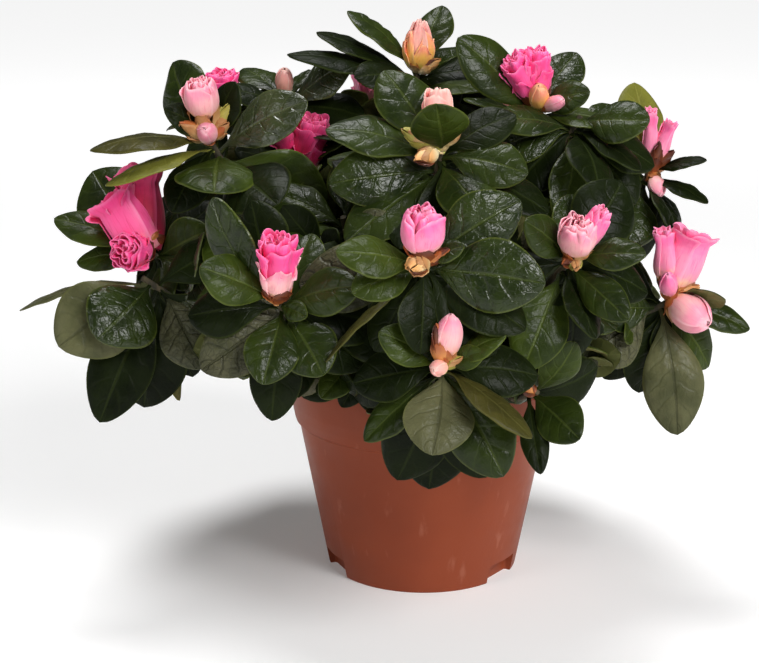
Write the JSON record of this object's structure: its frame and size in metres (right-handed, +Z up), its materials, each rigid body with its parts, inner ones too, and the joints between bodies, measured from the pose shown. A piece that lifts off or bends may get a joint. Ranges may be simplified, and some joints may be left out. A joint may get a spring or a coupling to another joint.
{
  "type": "potted azalea shrub",
  "caption": "Evergreen azalea shrub in a round terracotta-coloured nursery pot: a low dome of dark glossy leaves with pink buds and half-open flowers.",
  "frame": {"origin": "middle of the pot's flat underside, on the pot's axis", "axes": "+Z up along the pot's axis, -Y towards the side that was pictured, +X to the right there"},
  "size_m": [0.319, 0.2909, 0.2539],
  "materials": {
    "terracotta": "satin",
    "peat": "matt",
    "bark": "matt",
    "foliage": "glossy"
  },
  "bodies": {
    "root": {"pot": "terracotta", "soil": "peat", "trunk": "bark", "bough_crown_top": "bark", "bough_upper_left": "bark", "bough_upper_right": "bark", "bough_upper_front": "bark", "bough_front": "bark", "bough_front_left": "bark", "bough_front_right": "bark", "bough_left": "bark", "bough_right": "bark", "bough_back_left": "bark", "bough_back": "bark", "bough_back_right": "bark", "leaves_crown_top": "foliage", "leaves_upper_left": "foliage", "leaves_upper_right": "foliage", "leaves_upper_front": "foliage", "leaves_front": "foliage", "leaves_front_left": "foliage", "leaves_front_right": "foliage", "leaves_left": "foliage", "leaves_right": "foliage", "leaves_back_left": "foliage", "leaves_back": "foliage", "leaves_back_right": "foliage"}
  },
  "joints": []
}
